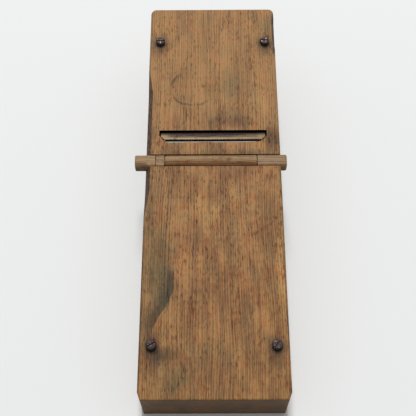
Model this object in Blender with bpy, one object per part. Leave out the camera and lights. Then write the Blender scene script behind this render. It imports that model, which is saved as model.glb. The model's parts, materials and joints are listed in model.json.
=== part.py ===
"""A wooden pull plane for trimming timber, lying sole up as it is put down on a bench.

Everything is modelled in the block's own frame: X across, Y from the front end to the heel,
Z out of the sole, with the sole at Z = 0 and the hidden top face below it. The finished plane
is then tilted until its front end and the head of its blade both touch the bench.
"""
import math

import bmesh
import bpy
from mathutils import Matrix, Vector

# ---------------------------------------------------------------- driving dimensions, metres
CLEARANCE = 0.0003              # air between two pieces that touch on the real plane
OVERCUT = 0.002                 # how far a cutter runs past the face it opens

BLOCK_LENGTH = 0.270
BLOCK_WIDTH = 0.084
BLOCK_THICKNESS = 0.033
BLOCK_ARRIS = 0.0008            # softened long and short edges
FRONT_CORNER_ACROSS = 0.0016    # the front corners are knocked off with a flat
FRONT_CORNER_ALONG = 0.0044
HEEL_CORNER_RADIUS = 0.0036     # the heel corners are rounded over

BED_ANGLE = math.radians(38.0)  # the bed that carries the blade, from the sole
EDGE_FROM_FRONT = 0.1645        # the cutting edge, from the front end
EDGE_SETBACK = 0.0003           # the edge is drawn back below the sole
MOUTH_GAP = 0.0016              # from the edge to the front lip of the mouth
LIP_LAND = 0.0015               # upright part of the throat's front wall, at the lip
CHIP_SLOPE = math.radians(62.0)  # the rest of the front wall, from the sole
CHEEK_THICKNESS = 0.0118        # wood left at each side of the throat

BLADE_LENGTH = 0.088
BLADE_EDGE_OVERLAP = 0.0004     # the edge reaches this far past each end of the mouth's front lip
BLADE_CLIP = 0.0024             # corners ground off beside the edge, at 45 degrees
BLADE_HEAD_INSET = 0.0070       # from each side of the block to the blade's head
BLADE_HEAD_RADIUS = 0.0050
BLADE_HEAD_BEVEL = 0.0008
BLADE_EDGE_THICKNESS = 0.0041   # where the taper would meet the edge
BLADE_TAPER = math.radians(2.4)  # the blade thickens towards its head
BEVEL_ANGLE = math.radians(29.0)
BLADE_SIDE_CLEARANCE = 0.0010   # air at each side of the blade in its grooves
HOLLOW_DEPTH = 0.0004           # the ground hollow in the blade's flat face
HOLLOW_LENGTH = 0.044
HOLLOW_SIDE_LAND = 0.0050
HOLLOW_EDGE_LAND = 0.0030
HOLLOW_RADIUS = 0.0140

BREAKER_LENGTH = 0.066
BREAKER_THICKNESS = 0.0032
BREAKER_SETBACK = 0.0005        # from the cutting edge to the breaker's tip
BREAKER_SIDE_CLEARANCE = 0.0006  # to each cheek
BREAKER_TIP_ANGLE = math.radians(30.0)
BREAKER_TIP_LAND = 0.0003       # the tip is left this thick
BREAKER_RISE = math.radians(2.2)  # the plate lifts off the blade towards its ears
BREAKER_EAR_LEG = 0.0070        # each bent corner, along the plate's two edges
BREAKER_HEAD_TAPER = 0.0010     # the plate is this much narrower, each side, at its head

PIN_RADIUS = 0.00275
PIN_BELOW_TOP = 0.0073          # from the block's top face to the pin's centre
PIN_END_SETBACK = 0.0005        # the pin ends lie just below the block's sides

SOLE_STRIP = 0.0093             # strip of sole between the groove for the bar and the mouth
BAR_WIDTH = 0.0080
BAR_EXTRA_DEPTH = 0.0004        # the square pieces are this much deeper than wide
BAR_EDGE_RADIUS = 0.0024        # the two edges inside the groove and under the knobs
BAR_TOP_RADIUS = 0.0011         # the two edges at the sole
BAR_END_ROUND = 0.0008          # rim of each free end
KNOB_WEAR_RADIUS = 0.0034       # the left end's near edge, worn round outside the block
KNOB_WEAR_FADE = 0.0020         # how far inside the block that wear runs out
BAR_LEFT_PROJECTION = 0.0068
BAR_RIGHT_PROJECTION = 0.0039
BAR_LEFT_SEAT = 0.0061          # length of the left end inside the block
BAR_SPACER_LENGTH = 0.0057
BAR_RIGHT_SEAT = 0.0145
BAR_JOINT_GAP = 0.0004          # open joints between the pieces of the bar
ROLLER_CREST_HEIGHT = 0.0018    # the crest stands this far out of the sole
ROLLER_END_ROUND = 0.0005
JOURNAL_RADIUS = 0.0012
JOURNAL_SEAT = 0.0035           # how deep a journal runs into a bar end

SCREW_SIDE_INSET = 0.0070
SCREW_FRONT_INSET = 0.0303
SCREW_HEEL_INSET = 0.0287
SCREW_HEAD_RADIUS = 0.0030
SCREW_HEAD_HEIGHT = 0.0022
SCREW_HEAD_ROUND = 0.0009
SCREW_SHANK_RADIUS = 0.0016
SCREW_SHANK_LENGTH = 0.0160
SCREW_POINT_LENGTH = 0.0040
SLOT_WIDTH = 0.0008
SLOT_DEPTH = 0.0009

GRIP_WIDTH = 0.0031             # worn hand chamfer along the left edge of the sole
GRIP_DEPTH = 0.0050
GRIP_REACH = 0.062              # to each side of the cutting edge
GRIP_RUN_OUT = 0.026
HEEL_WEAR_WIDTH = 0.0016        # smaller worn edge at the right of the heel
HEEL_WEAR_DEPTH = 0.0026
HEEL_WEAR_LENGTH = 0.0335
HEEL_WEAR_FROM_END = 0.0045
HEEL_WEAR_RUN_OUT = 0.008

ROUND_SIDES = 28                # facets around a turned piece
CORNER_STEPS = 5                # facets in a rounded corner
SMOOTH_ANGLE = math.radians(35.0)

# ---------------------------------------------------------------- sizes that follow from them
THROAT_WIDTH = BLOCK_WIDTH - 2 * CHEEK_THICKNESS
BLADE_EDGE_WIDTH = THROAT_WIDTH + 2 * BLADE_EDGE_OVERLAP
BLADE_HEAD_WIDTH = BLOCK_WIDTH - 2 * BLADE_HEAD_INSET
FRONT_FACE_ANGLE = BED_ANGLE + BLADE_TAPER
BREAKER_ANGLE = FRONT_FACE_ANGLE + BREAKER_RISE
EDGE_POINT = Vector((0.0, EDGE_FROM_FRONT, -EDGE_SETBACK))
BED_OFFSET = BLADE_EDGE_THICKNESS + CLEARANCE
LIP_Y = EDGE_FROM_FRONT - MOUTH_GAP
MOUTH_BACK_Y = EDGE_FROM_FRONT + BED_OFFSET / math.sin(BED_ANGLE) - EDGE_SETBACK / math.tan(BED_ANGLE)
BAR_DEPTH = BAR_WIDTH + BAR_EXTRA_DEPTH
ROLLER_RADIUS = BAR_WIDTH / 2
GROOVE_WIDTH = BAR_WIDTH + 2 * CLEARANCE
GROOVE_DEPTH = BAR_DEPTH + CLEARANCE
BAR_CENTRE_Y = LIP_Y - SOLE_STRIP - GROOVE_WIDTH / 2
ROLLER_AXIS_Z = ROLLER_CREST_HEIGHT - ROLLER_RADIUS
BAR_LEFT_JOINT_X = -BLOCK_WIDTH / 2 + BAR_LEFT_SEAT
BAR_SPACER_JOINT_X = BAR_LEFT_JOINT_X + BAR_SPACER_LENGTH
BAR_RIGHT_JOINT_X = BLOCK_WIDTH / 2 - BAR_RIGHT_SEAT

# ---------------------------------------------------------------- finishes: colour, roughness, metallic
FINISHES = {
    "oak_block": ((0.30, 0.155, 0.066), 0.62, 0.0),
    "oak_bar": ((0.30, 0.195, 0.112), 0.58, 0.0),
    "laminated_blade": ((0.33, 0.26, 0.18), 0.42, 0.9),
    "breaker_steel": ((0.10, 0.085, 0.070), 0.48, 0.9),
    "pin_steel": ((0.16, 0.14, 0.125), 0.45, 0.9),
    "screw_steel": ((0.085, 0.068, 0.058), 0.50, 0.85),
}


def clear_scene():
    """Remove whatever the file opened with."""
    for item in list(bpy.data.objects):
        bpy.data.objects.remove(item, do_unlink=True)


def make_materials():
    """One Principled material for each finish."""
    materials = {}
    for name, (colour, roughness, metallic) in FINISHES.items():
        material = bpy.data.materials.new(name)
        material.use_nodes = True
        shader = material.node_tree.nodes["Principled BSDF"]
        shader.inputs["Base Color"].default_value = (*colour, 1.0)
        shader.inputs["Roughness"].default_value = roughness
        shader.inputs["Metallic"].default_value = metallic
        materials[name] = material
    return materials


# ---------------------------------------------------------------- shapes
def arc(centre, radius, start, end, steps=CORNER_STEPS):
    """Points on a circular arc in a plane, from one angle to another in degrees."""
    points = []
    for step in range(steps + 1):
        angle = math.radians(start + (end - start) * step / steps)
        points.append((centre[0] + radius * math.cos(angle), centre[1] + radius * math.sin(angle)))
    return points


def loft(sections):
    """A closed solid through matching outlines."""
    bm = bmesh.new()
    rings = [[bm.verts.new(point) for point in section] for section in sections]
    for lower, upper in zip(rings, rings[1:]):
        for index in range(len(lower)):
            after = (index + 1) % len(lower)
            bm.faces.new((lower[index], lower[after], upper[after], upper[index]))
    bm.faces.new(reversed(rings[0]))
    bm.faces.new(rings[-1])
    bmesh.ops.recalc_face_normals(bm, faces=bm.faces)
    return bm


def prism_up(outline, low, high):
    """An XY outline extruded along Z."""
    return loft([[(x, y, z) for x, y in outline] for z in (low, high)])


def prism_across(outline, left, right):
    """A YZ outline extruded along X."""
    return loft([[(x, y, z) for y, z in outline] for x in (left, right)])


def slice_off(bm, point, normal):
    """Saw off everything on the normal's side of a plane and close the cut."""
    everything = bm.verts[:] + bm.edges[:] + bm.faces[:]
    cut = bmesh.ops.bisect_plane(
        bm, geom=everything, plane_co=point, plane_no=normal, clear_outer=True, dist=1e-7)
    edges = [item for item in cut["geom_cut"] if isinstance(item, bmesh.types.BMEdge)]
    bmesh.ops.edgeloop_fill(bm, edges=edges)
    bmesh.ops.recalc_face_normals(bm, faces=bm.faces)


def turned(profile, sides=ROUND_SIDES):
    """A solid of revolution about Z from (radius, height) points that start and end on the axis."""
    bm = bmesh.new()
    points = [bm.verts.new((radius, 0.0, height)) for radius, height in profile]
    line = [bm.edges.new(pair) for pair in zip(points, points[1:])]
    bmesh.ops.spin(
        bm, geom=points + line, cent=(0, 0, 0), axis=(0, 0, 1), dvec=(0, 0, 0),
        angle=math.tau, steps=sides, use_merge=True)
    bmesh.ops.remove_doubles(bm, verts=bm.verts, dist=1e-6)
    bmesh.ops.recalc_face_normals(bm, faces=bm.faces)
    return bm


def place(bm, name, frame, material, at=(0, 0, 0), turn=(0, 0, 0), smooth=False):
    """Make an object of a mesh, in the block's frame."""
    mesh = bpy.data.meshes.new(name)
    bm.to_mesh(mesh)
    bm.free()
    if smooth:
        mesh.shade_smooth()
        mesh.set_sharp_from_angle(angle=SMOOTH_ANGLE)
    piece = bpy.data.objects.new(name, mesh)
    bpy.context.scene.collection.objects.link(piece)
    piece.location = at
    piece.rotation_euler = turn
    piece.parent = frame
    mesh.materials.append(material)
    return piece


def cut_away(piece, bm, name, at=(0, 0, 0), turn=(0, 0, 0)):
    """Cut a piece with a hidden cutter that follows the same frame."""
    cutter = place(bm, name, piece.parent, piece.data.materials[0], at, turn)
    cutter.hide_render = True
    cutter.display_type = "WIRE"
    boolean = piece.modifiers.new(name, "BOOLEAN")
    boolean.operation = "DIFFERENCE"
    boolean.solver = "EXACT"
    boolean.object = cutter


# ---------------------------------------------------------------- the block
def block_outline():
    """Plan of the block: flats at the front corners, round heel corners."""
    half = BLOCK_WIDTH / 2
    heel_y = BLOCK_LENGTH - HEEL_CORNER_RADIUS
    round_x = half - HEEL_CORNER_RADIUS
    outline = [
        (-half, FRONT_CORNER_ALONG),
        (-half + FRONT_CORNER_ACROSS, 0.0),
        (half - FRONT_CORNER_ACROSS, 0.0),
        (half, FRONT_CORNER_ALONG),
    ]
    outline += arc((round_x, heel_y), HEEL_CORNER_RADIUS, 0, 90)
    outline += arc((-round_x, heel_y), HEEL_CORNER_RADIUS, 90, 180)
    return outline


def block_body():
    """The plain block with its arrises taken off."""
    bm = prism_up(block_outline(), -BLOCK_THICKNESS, 0.0)
    level = [edge for edge in bm.edges if abs(edge.verts[0].co.z - edge.verts[1].co.z) < CLEARANCE]
    bmesh.ops.bevel(
        bm, geom=level, offset=BLOCK_ARRIS, offset_type="OFFSET", segments=2, profile=0.5,
        affect="EDGES", clamp_overlap=True, material=-1)
    return bm


def throat_cutter():
    """The chip throat: from the lip of the mouth up the chip slope and back to the blade."""
    top = -(BLOCK_THICKNESS + OVERCUT)
    wall_run = (BLOCK_THICKNESS + OVERCUT - LIP_LAND) / math.tan(CHIP_SLOPE)
    inside_blade = BED_OFFSET / 2 / math.sin(BED_ANGLE)
    back_at_sole = MOUTH_BACK_Y - inside_blade
    outline = [
        (LIP_Y, OVERCUT),
        (LIP_Y, -LIP_LAND),
        (LIP_Y - wall_run, top),
        (back_at_sole - top / math.tan(BED_ANGLE), top),
        (back_at_sole - OVERCUT / math.tan(BED_ANGLE), OVERCUT),
    ]
    return prism_across(outline, -THROAT_WIDTH / 2, THROAT_WIDTH / 2)


def tapered_slab(outline, back, front_gap):
    """A slab in the blade's frame: flat on the bed side, tapered on the front side."""
    deepest = -(BLADE_LENGTH * math.tan(BLADE_TAPER) + BLADE_EDGE_WIDTH)
    bm = prism_up(outline, deepest, back)
    front = Vector((0.0, -math.sin(BLADE_TAPER), -math.cos(BLADE_TAPER)))
    slice_off(bm, front * front_gap, front)
    return bm


def blade_half_width(along):
    """Half the blade's width, past its clipped corners, at a distance from the edge."""
    narrow = BLADE_EDGE_WIDTH / 2 + BLADE_CLIP
    wide = BLADE_HEAD_WIDTH / 2
    return narrow + (wide - narrow) * along / BLADE_LENGTH


def blade_groove_cutter():
    """The bed and the two side grooves that hold the blade, open at the sole and the top face."""
    beyond = BLADE_LENGTH + OVERCUT
    clip_offset = BLADE_SIDE_CLEARANCE * math.sqrt(2.0)
    mouth_half = THROAT_WIDTH / 2 + CLEARANCE
    clip_start = mouth_half - BLADE_EDGE_WIDTH / 2 - clip_offset
    shoulder_half = blade_half_width(0.0) + BLADE_SIDE_CLEARANCE
    shoulder = shoulder_half - BLADE_EDGE_WIDTH / 2 - clip_offset
    right = [
        (mouth_half, clip_start),
        (shoulder_half, shoulder),
        (blade_half_width(beyond) + BLADE_SIDE_CLEARANCE, beyond),
    ]
    left = [(-x, y) for x, y in reversed(right)]
    return tapered_slab(right + left, BED_OFFSET, CLEARANCE)


def worn_edge_cutter(side, width, depth, start, end, run_out):
    """A chamfer along one edge of the sole that fades out at both ends."""
    edge_x = side * BLOCK_WIDTH / 2
    stations = ((start, 0.0), (start + run_out, 1.0), (end - run_out, 1.0), (end, 0.0))
    sections = []
    for y, share in stations:
        inner = edge_x + side * (BLOCK_ARRIS - (width + BLOCK_ARRIS) * share)
        lower = BLOCK_ARRIS - (depth + BLOCK_ARRIS) * share
        slope = depth / width
        sections.append([
            (inner - side * OVERCUT / slope, y, OVERCUT),
            (edge_x + side * OVERCUT, y, OVERCUT),
            (edge_x + side * OVERCUT, y, lower - OVERCUT * slope),
        ])
    return loft(sections)


def rod(radius, left, right):
    """A plain round bar along Z between two heights."""
    return turned([(0.0, left), (radius, left), (radius, right), (0.0, right)])


def down_slope(angle):
    """Unit vector that leans towards the heel and the top face, at an angle from the sole."""
    return Vector((0.0, math.cos(angle), -math.sin(angle)))


def into_throat(angle):
    """Unit vector square to that slope, out of the blade and into the throat."""
    return Vector((0.0, -math.sin(angle), -math.cos(angle)))


def breaker_tip():
    """The breaker's tip: just off the blade's flat face and back from the edge."""
    return (EDGE_POINT + down_slope(FRONT_FACE_ANGLE) * BREAKER_SETBACK
            + into_throat(FRONT_FACE_ANGLE) * CLEARANCE)


def pin_place():
    """Centre of the pressure pin, in the block's frame: just clear of the breaker's front."""
    beside_tip = breaker_tip() + into_throat(BREAKER_ANGLE) * (BREAKER_THICKNESS + CLEARANCE + PIN_RADIUS)
    drop = beside_tip.z + BLOCK_THICKNESS - PIN_BELOW_TOP
    return beside_tip + down_slope(BREAKER_ANGLE) * (drop / math.sin(BREAKER_ANGLE))


def screw_places():
    """Where the four screws enter the sole, by node name."""
    across = BLOCK_WIDTH / 2 - SCREW_SIDE_INSET
    heel = BLOCK_LENGTH - SCREW_HEEL_INSET
    return {
        "screw_front_left": (-across, SCREW_FRONT_INSET),
        "screw_front_right": (across, SCREW_FRONT_INSET),
        "screw_heel_left": (-across, heel),
        "screw_heel_right": (across, heel),
    }


def make_block(frame, material):
    """The oak block and everything that is cut into it."""
    block = place(block_body(), "block", frame, material)
    cut_away(block, throat_cutter(), "throat_cutter")
    cut_away(block, blade_groove_cutter(), "blade_groove_cutter", EDGE_POINT, (-BED_ANGLE, 0, 0))
    near, far = BAR_CENTRE_Y - GROOVE_WIDTH / 2, BAR_CENTRE_Y + GROOVE_WIDTH / 2
    groove = [(near, OVERCUT), (near, -GROOVE_DEPTH), (far, -GROOVE_DEPTH), (far, OVERCUT)]
    past_side = BLOCK_WIDTH / 2 + OVERCUT
    cut_away(block, prism_across(groove, -past_side, past_side), "bar_groove_cutter")
    pin_hole = rod(PIN_RADIUS + CLEARANCE, -past_side, past_side)
    cut_away(block, pin_hole, "pin_hole_cutter", pin_place(), (0, math.pi / 2, 0))
    for name, (x, y) in screw_places().items():
        hole = rod(SCREW_SHANK_RADIUS + CLEARANCE, -(SCREW_SHANK_LENGTH + CLEARANCE), OVERCUT)
        cut_away(block, hole, name + "_hole_cutter", (x, y, 0.0))
    grip_start, grip_end = EDGE_FROM_FRONT - GRIP_REACH, EDGE_FROM_FRONT + GRIP_REACH
    grip = worn_edge_cutter(-1, GRIP_WIDTH, GRIP_DEPTH, grip_start, grip_end, GRIP_RUN_OUT)
    cut_away(block, grip, "grip_chamfer_cutter")
    wear_end = BLOCK_LENGTH - HEEL_WEAR_FROM_END
    wear_start = wear_end - HEEL_WEAR_LENGTH
    wear = worn_edge_cutter(
        1, HEEL_WEAR_WIDTH, HEEL_WEAR_DEPTH, wear_start, wear_end, HEEL_WEAR_RUN_OUT)
    cut_away(block, wear, "heel_wear_cutter")


# ---------------------------------------------------------------- blade, breaker and pin
def blade_outline():
    """Plan of the blade from before its edge to its rounded head."""
    before = BLADE_CLIP / 2
    radius = BLADE_HEAD_RADIUS
    right = [
        (BLADE_EDGE_WIDTH / 2 - before, -before),
        (blade_half_width(0.0), BLADE_CLIP),
    ]
    right += arc((BLADE_HEAD_WIDTH / 2 - radius, BLADE_LENGTH - radius), radius, 0, 90)
    left = [(-x, y) for x, y in reversed(right)]
    return right + left


def blade_body():
    """The tapered blade with its ground bevel and softened head."""
    bm = tapered_slab(blade_outline(), BLADE_EDGE_THICKNESS, 0.0)
    bevel_rise = BEVEL_ANGLE - BLADE_TAPER
    slice_off(bm, (0, 0, 0), (0.0, -math.sin(bevel_rise), math.cos(bevel_rise)))
    head = []
    for edge in bm.edges:
        first, second = edge.verts[0].co, edge.verts[1].co
        past_shoulder = min(first.y, second.y) > BLADE_LENGTH - BLADE_HEAD_RADIUS - CLEARANCE
        along_face = Vector((0, 0, 1)).dot((second - first).normalized())
        if past_shoulder and abs(along_face) < 0.5:
            head.append(edge)
    bmesh.ops.bevel(
        bm, geom=head, offset=BLADE_HEAD_BEVEL, offset_type="OFFSET", segments=2, profile=0.5,
        affect="EDGES", clamp_overlap=True, material=-1)
    return bm


def hollow_cutter():
    """The shallow hollow in the blade's flat face, square at the edge and round at its top."""
    half = BLADE_EDGE_WIDTH / 2 - HOLLOW_SIDE_LAND
    top = HOLLOW_EDGE_LAND + HOLLOW_LENGTH
    right = [(half, HOLLOW_EDGE_LAND)]
    right += arc((half - HOLLOW_RADIUS, top - HOLLOW_RADIUS), HOLLOW_RADIUS, 0, 90)
    left = [(-x, y) for x, y in reversed(right)]
    return prism_up(right + left, -OVERCUT, HOLLOW_DEPTH)


def make_blade(frame, material):
    """The blade, its origin at the middle of the cutting edge."""
    blade = place(blade_body(), "blade", frame, material, EDGE_POINT, (-BED_ANGLE, 0, 0))
    cut_away(blade, hollow_cutter(), "blade_hollow_cutter", EDGE_POINT, (-FRONT_FACE_ANGLE, 0, 0))


def breaker_plate():
    """The breaker's flat plate with its ground tip, in its own rising frame, and half its head's width."""
    half = THROAT_WIDTH / 2 - BREAKER_SIDE_CLEARANCE
    head_half = half - BREAKER_HEAD_TAPER
    tip_run = (BREAKER_THICKNESS - BREAKER_TIP_LAND) / math.tan(BREAKER_TIP_ANGLE)
    outline = [
        (0.0, 0.0),
        (BREAKER_LENGTH, 0.0),
        (BREAKER_LENGTH, -BREAKER_THICKNESS),
        (tip_run, -BREAKER_THICKNESS),
        (0.0, -BREAKER_TIP_LAND),
    ]
    bm = prism_across(outline, -half, half)
    for vert in bm.verts:
        vert.co.x += (head_half - half) * math.copysign(vert.co.y / BREAKER_LENGTH, vert.co.x)
    return bm, head_half


def bend_ear(bm, side, half):
    """Fold one head corner of the plate down towards the blade, about a line at 45 degrees."""
    fold_point = Vector((side * (half - BREAKER_EAR_LEG), BREAKER_LENGTH, 0.0))
    fold_line = Vector((side, -1.0, 0.0)).normalized()
    outward = Vector((side, 1.0, 0.0)).normalized()
    everything = bm.verts[:] + bm.edges[:] + bm.faces[:]
    bmesh.ops.bisect_plane(bm, geom=everything, plane_co=fold_point, plane_no=outward, dist=1e-7)
    reach = BREAKER_EAR_LEG / math.sqrt(2.0)
    drop = BREAKER_LENGTH * math.tan(BREAKER_RISE)
    bend = math.asin(drop / reach)
    corner = [vert for vert in bm.verts if (vert.co - fold_point).dot(outward) > CLEARANCE]
    turn = Matrix.Rotation(side * bend, 4, fold_line)
    bmesh.ops.rotate(bm, verts=corner, cent=fold_point, matrix=turn)


def make_breaker(frame, material):
    """The chip breaker, its origin at the middle of its tip."""
    bm, half = breaker_plate()
    for side in (-1, 1):
        bend_ear(bm, side, half)
    place(bm, "chip_breaker", frame, material, breaker_tip(), (-BREAKER_ANGLE, 0, 0))


def make_pin(frame, material):
    """The steel pin across the throat that the breaker is wedged behind."""
    reach = BLOCK_WIDTH / 2 - PIN_END_SETBACK
    chamfer = PIN_END_SETBACK
    profile = [
        (0.0, -reach),
        (PIN_RADIUS - chamfer, -reach),
        (PIN_RADIUS, -reach + chamfer),
        (PIN_RADIUS, reach - chamfer),
        (PIN_RADIUS - chamfer, reach),
        (0.0, reach),
    ]
    place(turned(profile), "pressure_pin", frame, material, pin_place(), (0, math.pi / 2, 0), True)


# ---------------------------------------------------------------- the bar across the sole
def bar_section(near_radius=BAR_TOP_RADIUS):
    """YZ section of the bar's square pieces: softened at the sole, well rounded below."""
    near = BAR_CENTRE_Y - BAR_WIDTH / 2
    far = BAR_CENTRE_Y + BAR_WIDTH / 2
    top_radius = BAR_TOP_RADIUS
    radius = BAR_EDGE_RADIUS
    section = arc((far - top_radius, -top_radius), top_radius, 0, 90)
    section += arc((near + near_radius, -near_radius), near_radius, 90, 180)
    section += arc((near + radius, -BAR_DEPTH + radius), radius, 180, 270)
    section += arc((far - radius, -BAR_DEPTH + radius), radius, 270, 360)
    return section


def bar_piece(sections, rounded_end):
    """One square piece of the bar through (x, section) pairs; its free end, if any, is rounded over."""
    bm = loft([[(x, y, z) for y, z in section] for x, section in sections])
    if rounded_end is not None:
        rim = [edge for edge in bm.edges
               if all(abs(vert.co.x - rounded_end) < CLEARANCE / 2 for vert in edge.verts)]
        bmesh.ops.bevel(
            bm, geom=rim, offset=BAR_END_ROUND, offset_type="OFFSET", segments=2,
            profile=0.5, affect="EDGES", clamp_overlap=True, material=-1)
    return bm


def make_bar(frame, wood):
    """The two bar ends, the spacer and the roller that turns between them."""
    half = BLOCK_WIDTH / 2
    half_gap = BAR_JOINT_GAP / 2
    bore = JOURNAL_RADIUS + CLEARANCE
    left_joint, spacer_joint, right_joint = BAR_LEFT_JOINT_X, BAR_SPACER_JOINT_X, BAR_RIGHT_JOINT_X
    axis_at = (0.0, BAR_CENTRE_Y, ROLLER_AXIS_Z)
    along_x = (0, math.pi / 2, 0)

    outer = -half - BAR_LEFT_PROJECTION
    worn, plain = bar_section(KNOB_WEAR_RADIUS), bar_section()
    sections = ((outer, worn), (-half, worn), (KNOB_WEAR_FADE - half, plain), (left_joint - half_gap, plain))
    left_end = place(bar_piece(sections, outer), "bar_left_end", frame, wood)
    blind = rod(bore, left_joint - JOURNAL_SEAT - CLEARANCE, left_joint + OVERCUT)
    cut_away(left_end, blind, "left_bearing_cutter", axis_at, along_x)

    sections = ((left_joint + half_gap, plain), (spacer_joint - half_gap, plain))
    spacer_body = bar_piece(sections, None)
    spacer = place(spacer_body, "bar_spacer", frame, wood)
    through = rod(bore, left_joint - OVERCUT, spacer_joint + OVERCUT)
    cut_away(spacer, through, "spacer_bore_cutter", axis_at, along_x)

    outer = half + BAR_RIGHT_PROJECTION
    sections = ((right_joint + half_gap, plain), (outer, plain))
    right_end = place(bar_piece(sections, outer), "bar_right_end", frame, wood)
    blind = rod(bore, right_joint - OVERCUT, right_joint + JOURNAL_SEAT + CLEARANCE)
    cut_away(right_end, blind, "right_bearing_cutter", axis_at, along_x)

    body_left = spacer_joint + half_gap
    body_right = right_joint - half_gap
    profile = [
        (0.0, left_joint - JOURNAL_SEAT),
        (JOURNAL_RADIUS, left_joint - JOURNAL_SEAT),
        (JOURNAL_RADIUS, body_left),
        (ROLLER_RADIUS - ROLLER_END_ROUND, body_left),
        (ROLLER_RADIUS, body_left + ROLLER_END_ROUND),
        (ROLLER_RADIUS, body_right - ROLLER_END_ROUND),
        (ROLLER_RADIUS - ROLLER_END_ROUND, body_right),
        (JOURNAL_RADIUS, body_right),
        (JOURNAL_RADIUS, right_joint + JOURNAL_SEAT),
        (0.0, right_joint + JOURNAL_SEAT),
    ]
    place(turned(profile), "roller", frame, wood, axis_at, along_x, True)


# ---------------------------------------------------------------- screws
def screw_body():
    """A round-head wood screw, its seat under the head just clear of the sole at Z = 0."""
    crown = CLEARANCE + SCREW_HEAD_HEIGHT
    rim = SCREW_HEAD_RADIUS - SCREW_HEAD_ROUND
    profile = [(0.0, crown)]
    profile += [(x, z) for x, z in reversed(arc((rim, crown - SCREW_HEAD_ROUND), SCREW_HEAD_ROUND, 0, 90))]
    profile += [
        (SCREW_HEAD_RADIUS, CLEARANCE),
        (SCREW_SHANK_RADIUS, CLEARANCE),
        (SCREW_SHANK_RADIUS, SCREW_POINT_LENGTH - SCREW_SHANK_LENGTH),
        (0.0, -SCREW_SHANK_LENGTH),
    ]
    return turned(profile)


def slot_cutter():
    """The driving slot across the screw's head."""
    crown = CLEARANCE + SCREW_HEAD_HEIGHT
    long_way = SCREW_HEAD_RADIUS + OVERCUT
    outline = [
        (-long_way, -SLOT_WIDTH / 2),
        (long_way, -SLOT_WIDTH / 2),
        (long_way, SLOT_WIDTH / 2),
        (-long_way, SLOT_WIDTH / 2),
    ]
    return prism_up(outline, crown - SLOT_DEPTH, crown + OVERCUT)


def make_screws(frame, material):
    """Four screws, each driven home with its slot at its own angle."""
    slot_angles = {
        "screw_front_left": math.radians(27.0),
        "screw_front_right": math.radians(48.0),
        "screw_heel_left": math.radians(-2.0),
        "screw_heel_right": math.radians(-3.0),
    }
    for name, (x, y) in screw_places().items():
        turn = (0, 0, slot_angles[name])
        screw = place(screw_body(), name, frame, material, (x, y, 0.0), turn, True)
        cut_away(screw, slot_cutter(), name + "_slot_cutter", (x, y, 0.0), turn)


# ---------------------------------------------------------------- how it lies on the bench
def frame_points(frame):
    """Every corner of every piece, in the block's frame."""
    depsgraph = bpy.context.evaluated_depsgraph_get()
    points = []
    for piece in bpy.context.scene.objects:
        if piece.type != "MESH" or piece.hide_render:
            continue
        finished = piece.evaluated_get(depsgraph)
        to_frame = frame.matrix_world.inverted() @ finished.matrix_world
        points += [to_frame @ vert.co for vert in finished.data.vertices]
    return points


def rest_tilt(points):
    """The tilt at which the front end and the blade's head touch the bench together."""
    front = [point for point in points if point.y < EDGE_FROM_FRONT / 2]
    rear = [point for point in points if point.y > EDGE_FROM_FRONT]
    tilt = 0.0
    for _ in range(8):
        lean = Vector((0.0, math.sin(tilt), math.cos(tilt)))
        low_front = min(front, key=lean.dot)
        low_rear = min(rear, key=lean.dot)
        tilt = math.atan2(low_front.z - low_rear.z, low_rear.y - low_front.y)
    return tilt


def lay_down(frame):
    """Tilt the plane onto its two supports and centre it over the origin."""
    bpy.context.view_layer.update()
    points = frame_points(frame)
    tilt = rest_tilt(points)
    turned_points = [Matrix.Rotation(tilt, 3, "X") @ point for point in points]
    low = Vector([min(point[axis] for point in turned_points) for axis in range(3)])
    high = Vector([max(point[axis] for point in turned_points) for axis in range(3)])
    frame.rotation_euler = (tilt, 0, 0)
    frame.location = (-(low.x + high.x) / 2, -(low.y + high.y) / 2, -low.z)
    bpy.context.view_layer.update()


def main():
    clear_scene()
    materials = make_materials()
    frame = bpy.data.objects.new("block_frame", None)
    bpy.context.scene.collection.objects.link(frame)
    make_block(frame, materials["oak_block"])
    make_blade(frame, materials["laminated_blade"])
    make_breaker(frame, materials["breaker_steel"])
    make_pin(frame, materials["pin_steel"])
    make_bar(frame, materials["oak_bar"])
    make_screws(frame, materials["screw_steel"])
    lay_down(frame)


main()
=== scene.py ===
"""Looks of a wooden pull plane lying sole up: worn oak, patinated steel, floor, light and camera.

Patterns are laid out in the block's own frame, in millimetres: X across the sole, Y from the
front end to the heel, Z out of the sole, with the sole at Z = 0.
"""
import json
import logging
import math
from dataclasses import dataclass
from enum import Enum
from typing import Union

import bmesh
import bpy
from mathutils import Matrix, Vector

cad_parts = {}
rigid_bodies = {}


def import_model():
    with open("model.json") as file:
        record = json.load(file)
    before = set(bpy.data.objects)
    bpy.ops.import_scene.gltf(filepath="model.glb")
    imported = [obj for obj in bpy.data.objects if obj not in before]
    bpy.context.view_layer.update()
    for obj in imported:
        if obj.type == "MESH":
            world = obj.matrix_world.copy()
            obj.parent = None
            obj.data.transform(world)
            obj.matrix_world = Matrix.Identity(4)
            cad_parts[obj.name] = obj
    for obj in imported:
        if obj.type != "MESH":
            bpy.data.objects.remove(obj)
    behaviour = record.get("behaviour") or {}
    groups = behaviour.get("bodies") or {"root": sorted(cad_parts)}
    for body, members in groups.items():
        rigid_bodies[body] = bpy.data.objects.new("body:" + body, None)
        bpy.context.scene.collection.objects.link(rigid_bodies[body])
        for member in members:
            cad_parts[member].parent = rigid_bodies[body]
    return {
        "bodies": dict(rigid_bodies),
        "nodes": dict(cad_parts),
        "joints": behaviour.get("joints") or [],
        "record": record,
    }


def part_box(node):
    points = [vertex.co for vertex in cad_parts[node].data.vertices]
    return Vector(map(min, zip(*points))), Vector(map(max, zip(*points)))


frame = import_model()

log = logging.getLogger("pull_plane")

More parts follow.
